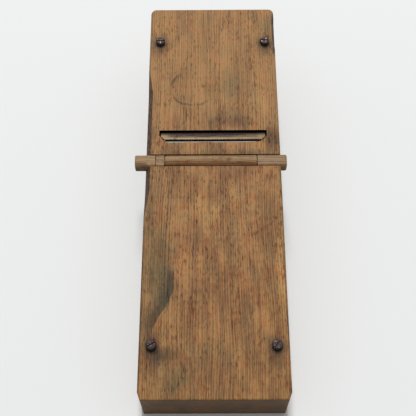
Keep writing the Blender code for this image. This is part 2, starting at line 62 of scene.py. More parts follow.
MM = 1000.0                      # millimetres in a metre
EDGE_FROM_FRONT = 164.5          # the cutting edge, from the front end, mm
LIP_FROM_FRONT = 162.9           # the mouth's front lip, mm
BAR_FROM_FRONT = 149.3           # the middle of the bar, mm
BLOCK_HALF_WIDTH = 42.0
GROWTH_PITCH = 1.35              # from one growth line to the next, mm
SHADER_BUMP = 0.6                # strength of every Bump node
WELD = 1e-7                      # points closer than this are one, metres

Colour = tuple[float, float, float]
Triple = tuple[float, float, float]
Socket = bpy.types.NodeSocket
Feed = Union[Socket, float, Triple]


# ---------------------------------------------------------------- the block's own frame
@dataclass(frozen=True)
class BlockFrame:
    """Where the block's own frame lies in the world.

    Args:
        tilt: lean of the sole about X, in radians.
        origin: world point of the middle of the sole's front edge, in metres.
    """

    tilt: float
    origin: Vector

    @classmethod
    def from_packed(cls, packed: dict) -> "BlockFrame":
        """Read the lean from the sole mount and the origin from the block's own extent.


        Returns:
            The block's frame.
        """
        sole = next(mount for mount in packed["record"]["mounts"] if mount["name"] == "sole")
        normal = Vector(sole["axis"])
        along = Vector((0.0, normal.z, -normal.y))
        points = [vert.co for vert in packed["nodes"]["block"].data.vertices]
        front = min(point.dot(along) for point in points)
        height = Vector(sole["pos_m"]).dot(normal)
        low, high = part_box("block")
        origin = along * front + normal * height
        origin.x = (low.x + high.x) / 2
        return cls(tilt=math.atan2(-normal.y, normal.z), origin=origin)

    def matrix(self) -> Matrix:
        """Block frame in metres to world."""
        return Matrix.Translation(self.origin) @ Matrix.Rotation(self.tilt, 4, "X")

    def map_location(self) -> Vector:
        """Location of the Mapping node that brings object coordinates into this frame, in mm."""
        back = Matrix.Rotation(-self.tilt, 3, "X")
        return -(back @ self.origin) * MM


# ---------------------------------------------------------------- node sheets and effects
class Sheet:
    """Adds nodes to one node tree and wires them."""

    def __init__(self, tree: bpy.types.NodeTree) -> None:
        """Start writing on a tree."""
        self.tree = tree

    def add(self, kind: str, **settings: object) -> bpy.types.Node:
        """Add a node and set its properties.

        Args:
            kind: the node's type name.
            settings: property values by name.

        Returns:
            The new node.
        """
        node = self.tree.nodes.new(kind)
        for name, value in settings.items():
            setattr(node, name, value)
        return node

    def feed(self, socket: Socket, value: Feed) -> None:
        """Link a socket into an input, or set the input to a value."""
        if isinstance(value, bpy.types.NodeSocket):
            self.tree.links.new(value, socket)
        elif socket.type == "RGBA":
            socket.default_value = (*value, 1.0)
        else:
            socket.default_value = value

    def math(self, operation: str, first: Feed, second: Feed = 0.0, clamp: bool = False) -> Socket:
        """One arithmetic step on two values."""
        node = self.add("ShaderNodeMath", operation=operation, use_clamp=clamp)
        self.feed(node.inputs[0], first)
        self.feed(node.inputs[1], second)
        return node.outputs[0]

    def vector_math(self, operation: str, first: Feed, second: Feed = (0.0, 0.0, 0.0)) -> bpy.types.Node:
        """One vector step; the caller picks the Vector or Value output."""
        node = self.add("ShaderNodeVectorMath", operation=operation)
        self.feed(node.inputs[0], first)
        self.feed(node.inputs[1], second)
        return node

    def stretch(self, vector: Feed, factors: Triple) -> Socket:
        """Scale a vector along each axis."""
        return self.vector_math("MULTIPLY", vector, factors).outputs["Vector"]

    def shift(self, vector: Feed, offset: Feed) -> Socket:
        """Move a vector."""
        return self.vector_math("ADD", vector, offset).outputs["Vector"]

    def split(self, vector: Feed) -> tuple[Socket, Socket, Socket]:
        """X, Y and Z of a vector."""
        node = self.add("ShaderNodeSeparateXYZ")
        self.feed(node.inputs[0], vector)
        return node.outputs[0], node.outputs[1], node.outputs[2]

    def join(self, x: Feed, y: Feed, z: Feed) -> Socket:
        """A vector of three values."""
        node = self.add("ShaderNodeCombineXYZ")
        for socket, value in zip(node.inputs, (x, y, z)):
            self.feed(socket, value)
        return node.outputs[0]

    def noise(self, vector: Feed, detail: float = 2.0, roughness: float = 0.5) -> Socket:
        """Soft noise of unit scale around 0.5."""
        node = self.add("ShaderNodeTexNoise", noise_dimensions="3D")
        self.feed(node.inputs["Vector"], vector)
        node.inputs["Scale"].default_value = 1.0
        node.inputs["Detail"].default_value = detail
        node.inputs["Roughness"].default_value = roughness
        return node.outputs[0]

    def ramp(self, value: Feed, start: Feed, end: Feed, low: Feed = 0.0, high: Feed = 1.0) -> Socket:
        """A smooth step of a value, from low at start to high at end."""
        node = self.add("ShaderNodeMapRange", interpolation_type="SMOOTHSTEP", clamp=True)
        for socket, number in zip(node.inputs, (value, start, end, low, high)):
            self.feed(socket, number)
        return node.outputs[0]

    def blend(self, factor: Feed, base: Feed, over: Feed, mode: str = "MIX") -> Socket:
        """Mix two colours."""
        node = self.add("ShaderNodeMix", data_type="RGBA", blend_type=mode, clamp_factor=True)
        self.feed(node.inputs[0], factor)
        self.feed(node.inputs[6], base)
        self.feed(node.inputs[7], over)
        return node.outputs[2]

    def window(self, value: Feed, start: float, end: float, fade: float) -> Socket:
        """One between start and end, fading to nothing over a distance at each side."""
        rise = self.ramp(value, start - fade, start)
        fall = self.ramp(value, end, end + fade, 1.0, 0.0)
        return self.math("MULTIPLY", rise, fall)


class Effect:
    """A shader node group that several materials place with their own values."""

    name = "effect"
    inputs: tuple[tuple[str, str, object], ...] = ()
    outputs: tuple[tuple[str, str], ...] = ()
    _made: dict[str, bpy.types.NodeTree] = {}

    def write(self, sheet: Sheet, given: dict[str, Socket]) -> dict[str, Socket]:
        """Wire the group's inside.

        Args:
            sheet: the sheet to write on.
            given: the group's inputs by name.

        Returns:
            The socket for each of the group's outputs, by name.
        """
        raise NotImplementedError

    def group(self) -> bpy.types.NodeTree:
        """The node group, built the first time it is asked for."""
        if self.name not in self._made:
            tree = bpy.data.node_groups.new(self.name, "ShaderNodeTree")
            for label, kind, default in self.inputs:
                socket = tree.interface.new_socket(name=label, in_out="INPUT", socket_type=kind)
                socket.default_value = default
            for label, kind in self.outputs:
                tree.interface.new_socket(name=label, in_out="OUTPUT", socket_type=kind)
            sheet = Sheet(tree)
            source = sheet.add("NodeGroupInput")
            target = sheet.add("NodeGroupOutput")
            made = self.write(sheet, {label: source.outputs[label] for label, _, _ in self.inputs})
            for label, socket in made.items():
                tree.links.new(socket, target.inputs[label])
            self._made[self.name] = tree
        return self._made[self.name]

    def place(self, sheet: Sheet, **values: Feed) -> dict[str, Socket]:
        """Place the group in a material.

        Args:
            sheet: the material's sheet.
            values: inputs by name, with underscores for spaces.

        Returns:
            The group's outputs by name.
        """
        node = sheet.add("ShaderNodeGroup")
        node.node_tree = self.group()
        for name, value in values.items():
            sheet.feed(node.inputs[name.replace("_", " ")], value)
        return {label: node.outputs[label] for label, _ in self.outputs}


FLOAT = "NodeSocketFloat"
VECTOR = "NodeSocketVector"
COLOUR = "NodeSocketColor"


class OakGrain(Effect):
    """Straight-grained oak: fibres, growth bands and rows of short open pores along Y."""

    name = "oak_grain"
    inputs = (
        ("Vector", VECTOR, (0.0, 0.0, 0.0)),
        ("Light", COLOUR, (0.5, 0.3, 0.15, 1.0)),
        ("Dark", COLOUR, (0.2, 0.1, 0.05, 1.0)),
        ("Pore", COLOUR, (0.08, 0.04, 0.03, 1.0)),
        ("Contrast", FLOAT, 1.0),
        ("Pore Amount", FLOAT, 1.0),
    )
    outputs = (("Color", COLOUR), ("Height", FLOAT), ("Pores", FLOAT))

    def write(self, sheet: Sheet, given: dict[str, Socket]) -> dict[str, Socket]:
        """Wire fibres, bands and pores; see the base class for Args and Returns."""
        wander = sheet.noise(sheet.stretch(given["Vector"], (0.030, 0.007, 0.030)), 1.0)
        bend = sheet.math("MULTIPLY", sheet.math("SUBTRACT", wander, 0.5), 8.0)
        grain = sheet.shift(given["Vector"], sheet.join(bend, 0.0, bend))
        bands = sheet.noise(sheet.stretch(grain, (0.13, 0.003, 0.13)), 2.0)
        lines = sheet.noise(sheet.stretch(grain, (0.95, 0.0075, 0.95)), 2.0, 0.6)
        fibres = sheet.noise(sheet.stretch(grain, (2.0, 0.045, 2.0)), 1.0, 0.6)
        rings = self.rings(sheet, grain)
        tone = sheet.math("MULTIPLY", bands, 0.26)
        tone = sheet.math("ADD", tone, sheet.math("MULTIPLY", lines, 0.36))
        tone = sheet.math("ADD", tone, sheet.math("MULTIPLY", fibres, 0.26))
        tone = sheet.math("ADD", tone, sheet.math("MULTIPLY", rings, 0.12))
        spread = sheet.math("MULTIPLY", sheet.math("SUBTRACT", tone, 0.5), given["Contrast"])
        tone = sheet.ramp(sheet.math("ADD", spread, 0.5), 0.38, 0.61)
        wood = sheet.blend(tone, given["Dark"], given["Light"])
        dashes = sheet.noise(sheet.stretch(grain, (1.9, 0.28, 1.9)), 1.0, 0.4)
        clusters = sheet.noise(sheet.stretch(given["Vector"], (0.09, 0.045, 0.09)), 2.0, 0.6)
        off_lines = sheet.math("MULTIPLY", sheet.math("SUBTRACT", lines, 0.5), 0.45)
        pores = sheet.math("SUBTRACT", dashes, off_lines)
        in_clusters = sheet.math("MULTIPLY", sheet.math("SUBTRACT", clusters, 0.5), 0.45)
        pores = sheet.math("ADD", pores, in_clusters)
        pores = sheet.math("MULTIPLY", sheet.ramp(pores, 0.57, 0.72), given["Pore Amount"])
        wood = sheet.blend(pores, wood, given["Pore"])
        height = sheet.math("SUBTRACT", sheet.math("MULTIPLY", rings, 0.6), pores)
        return {"Color": wood, "Height": height, "Pores": pores}

    def rings(self, sheet: Sheet, grain: Socket) -> Socket:
        """Close, uneven growth lines that lean through the thickness, from 0 to 1."""
        x, _, z = sheet.split(grain)
        drift = sheet.noise(sheet.stretch(grain, (0.22, 0.010, 0.22)), 2.0, 0.6)
        phase = sheet.math("ADD", x, sheet.math("MULTIPLY", z, 0.45))
        phase = sheet.math("MULTIPLY", phase, math.tau / GROWTH_PITCH)
        phase = sheet.math("ADD", phase, sheet.math("MULTIPLY", drift, 16.0))
        wave = sheet.math("SINE", phase)
        return sheet.math("MULTIPLY", sheet.math("ADD", wave, 1.0), 0.5)


class Smudge(Effect):
    """A ragged oval patch around a centre."""

    name = "smudge"
    inputs = (
        ("Vector", VECTOR, (0.0, 0.0, 0.0)),
        ("Centre", VECTOR, (0.0, 0.0, 0.0)),
        ("Size", VECTOR, (10.0, 10.0, 10.0)),
        ("Softness", FLOAT, 0.8),
        ("Ragged", FLOAT, 0.8),
    )
    outputs = (("Mask", FLOAT),)

    def write(self, sheet: Sheet, given: dict[str, Socket]) -> dict[str, Socket]:
        """Wire the oval and its ragged rim; see the base class for Args and Returns."""
        away = sheet.vector_math("SUBTRACT", given["Vector"], given["Centre"]).outputs["Vector"]
        away = sheet.vector_math("DIVIDE", away, given["Size"]).outputs["Vector"]
        distance = sheet.vector_math("LENGTH", away).outputs["Value"]
        patchy = sheet.noise(sheet.stretch(given["Vector"], (0.35, 0.11, 0.35)), 3.0, 0.6)
        swing = sheet.math("MULTIPLY", sheet.math("SUBTRACT", patchy, 0.5), given["Ragged"])
        distance = sheet.math("ADD", distance, swing)
        start = sheet.math("SUBTRACT", 1.0, given["Softness"])
        return {"Mask": sheet.ramp(distance, start, 1.0, 1.0, 0.0)}


class SteelSkin(Effect):
    """Old steel: bare metal, brown patina in clouds and small pits."""

    name = "steel_skin"
    inputs = (
        ("Vector", VECTOR, (0.0, 0.0, 0.0)),
        ("Bare", COLOUR, (0.4, 0.38, 0.35, 1.0)),
        ("Patina", COLOUR, (0.1, 0.07, 0.05, 1.0)),
        ("Amount", FLOAT, 0.5),
        ("Scale", FLOAT, 0.4),
    )
    outputs = (("Color", COLOUR), ("Roughness", FLOAT), ("Height", FLOAT))

    def write(self, sheet: Sheet, given: dict[str, Socket]) -> dict[str, Socket]:
        """Wire clouds and pits; see the base class for Args and Returns."""
        spread = sheet.add("ShaderNodeVectorMath", operation="SCALE")
        sheet.feed(spread.inputs[0], given["Vector"])
        sheet.feed(spread.inputs["Scale"], given["Scale"])
        clouds = sheet.noise(spread.outputs["Vector"], 4.0, 0.6)
        pits = sheet.noise(sheet.stretch(given["Vector"], (2.6, 2.6, 2.6)), 2.0, 0.6)
        level = sheet.math("ADD", sheet.math("SUBTRACT", clouds, 0.5), given["Amount"])
        cover = sheet.ramp(level, 0.30, 0.62)
        cover = sheet.math("MAXIMUM", cover, sheet.ramp(pits, 0.60, 0.72))
        colour = sheet.blend(cover, given["Bare"], given["Patina"])
        rough = sheet.ramp(cover, 0.0, 1.0, 0.30, 0.62)
        return {"Color": colour, "Roughness": rough, "Height": pits}


OAK_GRAIN = OakGrain()
SMUDGE = Smudge()
STEEL_SKIN = SteelSkin()


# ---------------------------------------------------------------- finishes
class GrainRun(Enum):
    """Which way a wooden piece's grain runs: turn about Z that brings it onto Y."""

    LENGTHWISE = 0.0
    CROSSWISE = math.pi / 2


@dataclass(frozen=True)
class Finish:
    """A material on one Principled shader, patterned in the block's frame.

    Args:
        name: the material's name.
        place: where the block's frame lies.
    """

    name: str
    place: BlockFrame

    def start(self) -> tuple[bpy.types.Material, Sheet, bpy.types.Node]:
        """A new material with its sheet and its Principled shader."""
        material = bpy.data.materials.new(self.name)
        material.use_nodes = True
        return material, Sheet(material.node_tree), material.node_tree.nodes["Principled BSDF"]

    def coordinates(self, sheet: Sheet) -> Socket:
        """Object coordinates brought into the block's frame, in millimetres."""
        source = sheet.add("ShaderNodeTexCoord")
        mapping = sheet.add("ShaderNodeMapping", vector_type="POINT")
        mapping.inputs["Location"].default_value = self.place.map_location()
        mapping.inputs["Rotation"].default_value = (-self.place.tilt, 0.0, 0.0)
        mapping.inputs["Scale"].default_value = (MM, MM, MM)
        sheet.feed(mapping.inputs["Vector"], source.outputs["Object"])
        return mapping.outputs["Vector"]

    def turned(self, sheet: Sheet, vector: Socket, run: GrainRun, offset: Triple) -> Socket:
        """A pattern's coordinates, with the grain along Y, moved to its own stretch of timber."""
        mapping = sheet.add("ShaderNodeMapping", vector_type="POINT")
        mapping.inputs["Location"].default_value = offset
        mapping.inputs["Rotation"].default_value = (0.0, 0.0, run.value)
        sheet.feed(mapping.inputs["Vector"], vector)
        return mapping.outputs["Vector"]

    def bump(self, sheet: Sheet, shader: bpy.types.Node, height: Socket, depth: float) -> None:
        """Raise the surface by a height, with a depth in metres."""
        node = sheet.add("ShaderNodeBump")
        node.inputs["Strength"].default_value = SHADER_BUMP
        node.inputs["Distance"].default_value = depth
        sheet.feed(node.inputs["Height"], height)
        sheet.feed(shader.inputs["Normal"], node.outputs["Normal"])


@dataclass(frozen=True)
class Stain:
    """One patch on the sole.

    Args:
        centre: middle of the patch, mm in the block's frame.
        size: its half sizes along X, Y and Z, mm.
        tone: the tint it lays over the wood.
        amount: how much it covers at its middle.
        softness: share of the patch over which it fades.
        ragged: how uneven its rim is.
    """

    centre: Triple
    size: Triple
    tone: Colour
    amount: float = 0.5
    softness: float = 0.9
    ragged: float = 0.9


GREY = (0.38, 0.41, 0.46)
OLIVE = (0.60, 0.74, 0.82)
RUSSET = (0.70, 0.55, 0.58)
BLEACHED = (1.28, 1.34, 1.28)
# near-black of the iron stain and painted shadow round the screws
SCREW_STAIN_AND_SHADOW = (0.018, 0.013, 0.011)

SOLE_STAINS = (
    Stain((-34.0, 74.0, 0.0), (13.0, 34.0, 9.0), OLIVE, 0.95),
    Stain((-30.0, 62.0, 0.0), (10.0, 24.0, 9.0), OLIVE, 0.60),
    Stain((-27.0, 25.0, 0.0), (13.0, 7.0, 9.0), GREY, 0.62),
    Stain((-22.0, 8.0, 0.0), (26.0, 16.0, 9.0), OLIVE, 0.60),
    Stain((-8.0, 25.0, 0.0), (36.0, 12.0, 9.0), OLIVE, 0.42),
    Stain((-38.0, 108.0, 0.0), (7.0, 50.0, 9.0), OLIVE, 0.45),
    Stain((-25.0, 154.0, 0.0), (14.0, 6.0, 9.0), OLIVE, 0.60),
    Stain((37.5, 165.0, 0.0), (8.0, 13.0, 9.0), GREY, 0.92),
    Stain((42.0, 190.0, 0.0), (5.0, 60.0, 9.0), OLIVE, 0.45),
    Stain((-27.0, 92.0, 0.0), (9.0, 14.0, 9.0), OLIVE, 0.55),
    Stain((-20.0, 14.0, 0.0), (22.0, 13.0, 9.0), OLIVE, 0.45),
    Stain((-40.0, 48.0, 0.0), (8.0, 13.0, 9.0), GREY, 0.35),
    Stain((25.0, 154.0, 0.0), (12.0, 6.0, 9.0), OLIVE, 0.50),
    Stain((41.0, 76.0, 0.0), (9.0, 46.0, 9.0), BLEACHED, 1.00),
    Stain((5.0, 114.0, 0.0), (24.0, 24.0, 9.0), BLEACHED, 0.60),
    Stain((30.0, 192.0, 0.0), (12.0, 16.0, 9.0), BLEACHED, 0.45),
    Stain((42.0, 135.0, 0.0), (6.0, 26.0, 9.0), OLIVE, 0.45),
    Stain((-42.0, 165.0, 0.0), (8.0, 26.0, 9.0), GREY, 0.35),
    Stain((10.0, 151.0, 0.0), (44.0, 8.0, 9.0), OLIVE, 0.75, 0.7),
    Stain((6.0, 180.0, 0.0), (24.0, 13.0, 9.0), OLIVE, 0.60),
    Stain((11.0, 178.0, 0.0), (20.0, 6.0, 9.0), RUSSET, 0.80),
    Stain((12.0, 206.0, 0.0), (13.0, 18.0, 9.0), OLIVE, 0.65),
    Stain((-2.0, 202.0, 0.0), (5.0, 8.0, 9.0), GREY, 0.40),
    Stain((0.0, 62.0, 0.0), (34.0, 26.0, 9.0), RUSSET, 0.30),
    Stain((-15.0, 95.0, 0.0), (14.0, 14.0, 9.0), RUSSET, 0.50),
    Stain((12.0, 138.0, 0.0), (26.0, 8.0, 9.0), RUSSET, 0.35),
    Stain((-6.0, 16.0, 0.0), (22.0, 14.0, 9.0), RUSSET, 0.35),
    Stain((30.0, 258.0, 0.0), (5.0, 14.0, 9.0), GREY, 0.30),
    Stain((38.5, 252.0, 0.0), (5.0, 20.0, 9.0), OLIVE, 0.80),
)


@dataclass(frozen=True)
class Grime:
    """A stretch of one long edge of the sole that is black with hand dirt.

    Args:
        side: which edge, -1 for the left and 1 for the right.
        start: where it begins, mm from the front end.
        end: where it ends, mm from the front end.
        width: how far it reaches in from the edge, mm.
        amount: how much it covers.
        fade: how long it takes to fade at each end, mm.
    """

    side: float
    start: float
    end: float
    width: float
    amount: float
    fade: float = 6.0


EDGE_GRIME = (
    Grime(1.0, 234.0, 262.0, 1.6, 0.85),
    Grime(1.0, 4.0, 10.0, 1.4, 0.80, 2.0),
    Grime(1.0, 40.0, 130.0, 1.0, 0.45, 20.0),
    Grime(-1.0, 10.0, 100.0, 0.9, 0.45, 12.0),
)


@dataclass(frozen=True)
class BlockOak(Finish):
    """The block's timber: brown worn oak, stained and painted with shadow round the screws, blackened on the
    grip, with painted shade in the throat and a painted line of light on the mouth's lip.
    """

    light: Colour = (0.405, 0.210, 0.073)
    dark: Colour = (0.200, 0.100, 0.041)
    pore: Colour = (0.085, 0.030, 0.020)
    heel_light: Colour = (0.48, 0.255, 0.092)
    rubbed_light: Colour = (0.46, 0.225, 0.078)
    edge_dirt: Colour = (0.042, 0.028, 0.018)
    hand_black: Colour = (0.048, 0.023, 0.011)
    hand_brown: Colour = (0.185, 0.088, 0.042)
    end_grain: Colour = (0.060, 0.040, 0.022)
    # painted shade with dirt: the near-black of the deep throat walls
    throat: Colour = (0.030, 0.018, 0.012)
    # painted light: the pale grey of the line along the mouth's front lip
    lip: Colour = (0.36, 0.37, 0.34)
    cloud_tint: Colour = (0.66, 0.62, 0.62)
    red_tint: Colour = (0.97, 0.86, 0.82)
    olive_tint: Colour = (0.87, 0.94, 0.98)
    flush_tint: Colour = (0.76, 0.58, 0.62)
    swoosh_tint: Colour = (0.27, 0.37, 0.52)
    specular: float = 0.14
    bump_depth: float = 0.00010
    ring_centre: tuple[float, float] = (-13.2, 203.8)
    ring_radius: float = 16.0
    # iron stain and painted shadow round each screw: half sizes in mm and how much each covers
    stain_and_shadow_halos: tuple[tuple[Triple, float], ...] = (((4.8, 6.0, 6.0), 0.88), ((9.5, 13.0, 8.0), 0.50))
    screws: tuple[Triple, ...] = ()
    grip_normal: Triple = (-0.85, 0.0, 0.53)

    def make(self) -> bpy.types.Material:
        """Build the material.

        Returns:
            The block's material.
        """
        material, sheet, shader = self.start()
        spot = self.coordinates(sheet)
        x, y, z = sheet.split(spot)
        grain = OAK_GRAIN.place(
            sheet, Vector=spot, Light=self.light, Dark=self.dark, Pore=self.pore,
            Contrast=1.0, Pore_Amount=0.62)
        colour = grain["Color"]
        heel_half = sheet.ramp(y, 135.0, 215.0)
        colour = sheet.blend(sheet.math("MULTIPLY", heel_half, 0.12), colour, self.heel_light)
        colour = self.flushed(sheet, spot, heel_half, colour)
        colour = self.stained(sheet, spot, colour)
        colour = self.swoosh(sheet, spot, colour)
        colour = self.ring_mark(sheet, spot, colour)
        # iron stain and painted shadow round the screws
        colour = self.screw_stains_and_shadows(sheet, spot, colour)
        colour = sheet.blend(self.grimy_edges(sheet, spot), colour, self.edge_dirt)
        rubbed = sheet.noise(sheet.stretch(spot, (0.9, 0.35, 0.9)), 3.0, 0.65)
        handled = sheet.blend(
            sheet.ramp(rubbed, 0.44, 0.66, 0.0, 0.85), self.hand_black, self.hand_brown)
        colour = sheet.blend(self.grip_mask(sheet), colour, handled)
        colour = sheet.blend(sheet.ramp(y, 0.05, 0.35, 0.74, 0.0), colour, self.end_grain)
        # painted shade with dirt on the throat walls, darker with depth
        colour = sheet.blend(self.throat_shade_and_dirt_mask(sheet, x, y, z), colour, self.throat)
        # painted light: a pale line along the mouth's front lip
        colour = sheet.blend(self.painted_lip_light(sheet, spot), colour, self.lip)
        sheet.feed(shader.inputs["Base Color"], colour)
        sheet.feed(shader.inputs["Roughness"], sheet.ramp(grain["Pores"], 0.0, 1.0, 0.52, 0.80))
        shader.inputs["Specular IOR Level"].default_value = self.specular
        self.bump(sheet, shader, grain["Height"], self.bump_depth)
        return material

    def flushed(self, sheet: Sheet, spot: Socket, heel_half: Socket, colour: Socket) -> Socket:
        """Brown clouds and small reddish flushes, stronger on the hard-worn front half."""
        share = sheet.ramp(heel_half, 0.0, 1.0, 1.0, 0.40)
        clouds = sheet.noise(sheet.stretch(spot, (0.075, 0.034, 0.075)), 4.0, 0.62)
        cloudy = sheet.math("MULTIPLY", sheet.ramp(clouds, 0.36, 0.56, 0.70, 0.0), share)
        colour = sheet.blend(cloudy, colour, self.cloud_tint, "MULTIPLY")
        bright = sheet.math("MULTIPLY", sheet.ramp(clouds, 0.50, 0.64, 0.0, 0.42), share)
        colour = sheet.blend(bright, colour, self.rubbed_light)
        hue = sheet.noise(sheet.stretch(spot, (0.13, 0.075, 0.13)), 3.0, 0.6)
        red = sheet.math("MULTIPLY", sheet.ramp(hue, 0.50, 0.62), share)
        colour = sheet.blend(red, colour, self.red_tint, "MULTIPLY")
        olive = sheet.ramp(hue, 0.38, 0.49, 0.8, 0.0)
        colour = sheet.blend(olive, colour, self.olive_tint, "MULTIPLY")
        spots = sheet.noise(sheet.stretch(spot, (0.55, 0.28, 0.55)), 4.0, 0.7)
        flushed = sheet.math("MULTIPLY", sheet.ramp(spots, 0.50, 0.64, 0.0, 0.70), share)
        return sheet.blend(flushed, colour, self.flush_tint, "MULTIPLY")

    def stained(self, sheet: Sheet, spot: Socket, colour: Socket) -> Socket:
        """Lay the listed patches over the wood."""
        for stain in SOLE_STAINS:
            mask = SMUDGE.place(
                sheet, Vector=spot, Centre=stain.centre, Size=stain.size,
                Softness=stain.softness, Ragged=stain.ragged)["Mask"]
            colour = sheet.blend(
                sheet.math("MULTIPLY", mask, stain.amount), colour, stain.tone, "MULTIPLY")
        return colour

    def swoosh(self, sheet: Sheet, spot: Socket, colour: Socket) -> Socket:
        """A grey sweep with a sharp right edge that curls towards the front left screw."""
        x, y, _ = sheet.split(spot)
        wobble = sheet.noise(sheet.stretch(spot, (0.3, 0.12, 0.3)), 2.0)
        edge = sheet.ramp(y, 35.0, 66.0, -34.8, -22.6)
        edge = sheet.math("ADD", edge, sheet.math("MULTIPLY", sheet.math("SUBTRACT", wobble, 0.5), 2.0))
        inward = sheet.math("SUBTRACT", edge, x)
        body = sheet.ramp(inward, 0.0, 0.8)
        width = sheet.ramp(y, 50.0, 76.0, 14.0, 8.0)
        tail = sheet.ramp(inward, 1.6, width, 1.0, 0.0)
        reach = sheet.math("MULTIPLY", sheet.ramp(y, 27.0, 44.0), sheet.ramp(y, 72.0, 79.0, 1.0, 0.0))
        mask = sheet.math("MULTIPLY", sheet.math("MULTIPLY", body, tail), reach)
        return sheet.blend(sheet.math("MULTIPLY", mask, 0.92), colour, self.swoosh_tint, "MULTIPLY")

    def ring_mark(self, sheet: Sheet, spot: Socket, colour: Socket) -> Socket:
        """A broken, open ring between the mouth and the heel, like the mark of a wet tin."""
        x, y, _ = sheet.split(spot)
        middle_x, middle_y = self.ring_centre
        from_centre = sheet.join(
            sheet.math("SUBTRACT", x, middle_x), sheet.math("SUBTRACT", y, middle_y), 0.0)
        distance = sheet.vector_math("LENGTH", from_centre).outputs["Value"]
        wobble = sheet.noise(sheet.stretch(spot, (0.16, 0.12, 0.16)), 2.0)
        distance = sheet.math("ADD", distance, sheet.math("MULTIPLY", wobble, 5.0))
        line = sheet.window(distance, self.ring_radius, self.ring_radius + 0.4, 1.3)
        across, up, _ = sheet.split(from_centre)
        open_side = sheet.ramp(sheet.math("ADD", across, up), 2.0, 8.0, 1.0, 0.0)
        worn = sheet.noise(sheet.stretch(spot, (0.22, 0.22, 0.22)), 2.0, 0.6)
        mask = sheet.math("MULTIPLY", line, open_side)
        mask = sheet.math("MULTIPLY", mask, sheet.ramp(worn, 0.36, 0.60, 0.15, 0.85))
        return sheet.blend(mask, colour, GREY, "MULTIPLY")

    def screw_stains_and_shadows(self, sheet: Sheet, spot: Socket, colour: Socket) -> Socket:
        """Dark patches round the screws, shifted towards the front end: iron stain and painted shadow of the
        heads.
        """
        for centre in self.screws:
            for size, amount in self.stain_and_shadow_halos:
                below = (centre[0], centre[1] - size[1] * 0.22, centre[2])
                mask = SMUDGE.place(
                    sheet, Vector=spot, Centre=below, Size=size, Softness=0.75, Ragged=0.8)["Mask"]
                colour = sheet.blend(sheet.math("MULTIPLY", mask, amount), colour, SCREW_STAIN_AND_SHADOW)
        return colour

    def grip_mask(self, sheet: Sheet) -> Socket:
        """Where the surface leans like the hand chamfer on the left edge."""
        surface = sheet.add("ShaderNodeNewGeometry")
        lean = sheet.vector_math("DOT_PRODUCT", surface.outputs["Normal"], self.grip_normal)
        return sheet.ramp(lean.outputs["Value"], 0.955, 0.985)

    def grimy_edges(self, sheet: Sheet, spot: Socket) -> Socket:
        """Black hand dirt along stretches of the sole's two long edges."""
        x, y, z = sheet.split(spot)
        ragged = sheet.noise(sheet.stretch(spot, (0.25, 0.16, 0.25)), 3.0, 0.65)
        swing = sheet.math("MULTIPLY", sheet.math("SUBTRACT", ragged, 0.5), 3.0)
        near_sole = sheet.ramp(sheet.math("ADD", z, swing), -4.5, -2.0)
        total: Feed = 0.0
        for strip in EDGE_GRIME:
            inward = sheet.math("SUBTRACT", BLOCK_HALF_WIDTH, sheet.math("MULTIPLY", x, strip.side))
            rim = sheet.math("ADD", inward, swing)
            cover = sheet.ramp(rim, strip.width * 0.5, strip.width * 1.3, strip.amount, 0.0)
            cover = sheet.math("MULTIPLY", cover, sheet.window(y, strip.start, strip.end, strip.fade))
            total = sheet.math("MAXIMUM", total, cover)
        return sheet.math("MULTIPLY", total, near_sole)

    def painted_lip_light(self, sheet: Sheet, spot: Socket) -> Socket:
        """Painted light: a thin pale line along the mouth's front lip, where the lit floor shows through the
        gap ahead of the edge.
        """
        x, y, _ = sheet.split(spot)
        # uneven reach of the painted line of light
        worn = sheet.noise(sheet.stretch(spot, (0.11, 0.11, 0.11)), 2.0)
        reach = sheet.ramp(worn, 0.34, 0.60, 0.30, 0.70)
        inward = sheet.math("SUBTRACT", LIP_FROM_FRONT, y)
        line = sheet.ramp(sheet.math("SUBTRACT", inward, reach), -0.05, 0.15, 0.85, 0.0)
        line = sheet.math("MULTIPLY", line, sheet.ramp(inward, -0.4, -0.2))
        return sheet.math("MULTIPLY", line, sheet.window(x, -28.0, 25.0, 3.0))

    def throat_shade_and_dirt_mask(self, sheet: Sheet, x: Socket, y: Socket, z: Socket) -> Socket:
        """The walls of the throat, darker with depth below the sole: painted shade, with the dirt of old
        shavings and oil.
        """
        deep = sheet.ramp(z, -1.2, -0.25, 0.85, 0.0)
        across = sheet.window(x, -37.0, 37.0, 0.6)
        along = sheet.window(y, 155.0, 172.0, 0.6)
        return sheet.math("MULTIPLY", sheet.math("MULTIPLY", deep, across), along)


